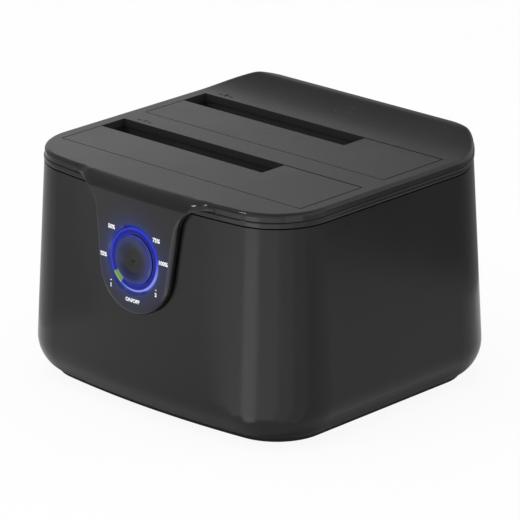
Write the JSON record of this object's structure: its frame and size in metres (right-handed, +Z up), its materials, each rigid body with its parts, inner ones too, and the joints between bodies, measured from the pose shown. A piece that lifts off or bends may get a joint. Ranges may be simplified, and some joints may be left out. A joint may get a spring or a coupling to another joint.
{
  "type": "drive duplicator dock",
  "caption": "Desktop dock that takes upright hard drives through spring flaps and copies one to the other from a lit start button.",
  "frame": {"origin": "on the surface the dock stands on, under the middle of its bounding box", "axes": "+X to the right along the front, +Y from the button side to the port side, +Z up"},
  "size_m": [0.1194, 0.1124, 0.0798],
  "materials": {
    "shell_black": "fine matte grain",
    "cover_grey": "fine matte grain with a glossy rim",
    "band_black": "polished",
    "base_black": "fine matte grain",
    "screw_steel": "zinc plated",
    "foot_rubber": "matte",
    "ring_blue": "frosted light guide",
    "button_black": "satin",
    "plunger_white": "plain",
    "component_black": "plain",
    "board_green": "solder mask",
    "led_white": "clear lens over a white body",
    "can_aluminium": "brushed can",
    "port_steel": "tin plated",
    "port_black": "moulded",
    "rocker_black": "moulded",
    "ribbon_grey": "flat cable",
    "door_grey": "fine matte grain",
    "pin_steel": "ground",
    "spring_steel": "drawn wire",
    "well_black": "moulded",
    "socket_black": "moulded"
  },
  "bodies": {
    "dock": {"body_shell": "shell_black", "top_cover": "cover_grey", "trim_band": "band_black", "base_plate": "base_black", "base_screws": "screw_steel", "board_screws": "screw_steel", "front_board_screws": "screw_steel", "rubber_feet": "foot_rubber", "light_ring": "ring_blue", "push_switch": "component_black", "front_board": "board_green", "main_board": "board_green", "ring_leds": "led_white", "board_chips": "component_black", "board_capacitors": "can_aluminium", "usb_port": "port_steel", "power_jack": "port_black", "switch_housing": "port_black", "ribbon_cable": "ribbon_grey", "front_hinge_pin": "pin_steel", "front_drive_well": "well_black", "front_drive_socket": "socket_black", "rear_hinge_pin": "pin_steel", "rear_drive_well": "well_black", "rear_drive_socket": "socket_black"},
    "front_flap": {"front_door": "door_grey", "front_door_spring": "spring_steel"},
    "rear_flap": {"rear_door": "door_grey", "rear_door_spring": "spring_steel"},
    "button": {"start_button": "button_black", "switch_plunger": "plunger_white"},
    "rocker": {"power_rocker": "rocker_black"}
  },
  "joints": [
    {"name": "front_flap_hinge", "type": "hinge", "parent": "dock", "child": "front_flap", "pos_m": [0, -0.038, 0.0704], "axis": [-1, 0, 0], "range_deg": [0, 88], "stiffness_Nm_per_rad": 0.002, "springref_deg": -34.38},
    {"name": "rear_flap_hinge", "type": "hinge", "parent": "dock", "child": "rear_flap", "pos_m": [0, -0.0005, 0.0704], "axis": [-1, 0, 0], "range_deg": [0, 88], "stiffness_Nm_per_rad": 0.002, "springref_deg": -34.38},
    {"name": "start_press", "type": "slide", "parent": "dock", "child": "button", "axis": [0, 0.9985, -0.0549], "range_m": [0, 0.0006], "stiffness_N_per_m": 1500, "springref_m": -0.0003},
    {"name": "power_rock", "type": "hinge", "parent": "dock", "child": "rocker", "pos_m": [0.031, 0.0525, 0.03191], "axis": [1, 0, 0], "range_deg": [0, 18]}
  ]
}
